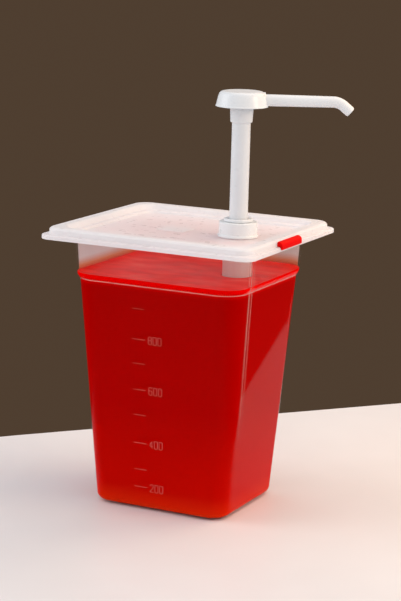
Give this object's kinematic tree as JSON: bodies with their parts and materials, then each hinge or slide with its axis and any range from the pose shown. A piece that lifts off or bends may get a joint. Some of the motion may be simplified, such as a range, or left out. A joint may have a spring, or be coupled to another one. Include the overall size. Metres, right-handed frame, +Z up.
{
  "type": "condiment pump dispenser",
  "caption": "Tall translucent food container with a press-on lid, a colour clip and a sprung push-down pump that lifts sauce up a dip tube and out of a long bent spout.",
  "frame": {"origin": "centre of the container's flat base, on the surface that it stands on", "axes": "+Z up; +X along the graduated front face, towards the pump; +Y from that face towards the back"},
  "size_m": [0.2042, 0.162, 0.3215],
  "materials": {
    "clear_polypropylene": "moulded, translucent, glossy outside",
    "sauce": "wet, smooth red sauce",
    "milky_polypropylene": "moulded, milky translucent, satin",
    "silicone": "soft matt silicone",
    "red_polypropylene": "moulded, plain red",
    "white_polypropylene": "moulded, opaque white, soft gloss",
    "natural_polypropylene": "moulded or extruded, natural white, slightly translucent",
    "elastomer": "soft matt elastomer",
    "steel": "bright stainless wire and balls"
  },
  "bodies": {
    "container": {"container_body": "clear_polypropylene", "sauce_fill": "sauce"},
    "lid": {"lid": "milky_polypropylene", "lid_seal": "silicone", "collar_nut": "white_polypropylene", "neck_gasket": "silicone", "stem_guide": "white_polypropylene", "stem_wiper": "elastomer", "barrel": "natural_polypropylene", "ball_cage": "white_polypropylene", "dip_tube": "natural_polypropylene", "return_spring": "steel"},
    "clip": {"colour_clip": "red_polypropylene"},
    "inlet_valve": {"inlet_ball": "steel"},
    "plunger": {"piston_seal": "elastomer", "spring_follower": "white_polypropylene"},
    "head": {"piston_core": "white_polypropylene", "stem_tube": "natural_polypropylene", "pump_head": "white_polypropylene", "spout": "white_polypropylene"},
    "outlet_valve": {"outlet_ball": "steel"}
  },
  "joints": [
    {"name": "lid_lift", "type": "slide", "parent": "container", "child": "lid", "axis": [0, 0, 1], "range_m": [0, 0.215]},
    {"name": "clip_pull", "type": "slide", "parent": "lid", "child": "clip", "axis": [0, 0, 1], "range_m": [0, 0.012]},
    {"name": "pump_press", "type": "slide", "parent": "lid", "child": "plunger", "axis": [0, 0, -1], "range_m": [0, 0.068], "stiffness_N_per_m": 150, "springref_m": -0.06, "deforming": ["return_spring"]},
    {"name": "head_swivel", "type": "hinge", "parent": "plunger", "child": "head", "pos_m": [0.04, 0, 0.31], "axis": [0, 0, 1], "continuous": true},
    {"name": "inlet_lift", "type": "slide", "parent": "lid", "child": "inlet_valve", "axis": [0, 0, 1], "range_m": [0, 0.003]},
    {"name": "outlet_lift", "type": "slide", "parent": "head", "child": "outlet_valve", "axis": [0, 0, 1], "range_m": [0, 0.003]}
  ]
}
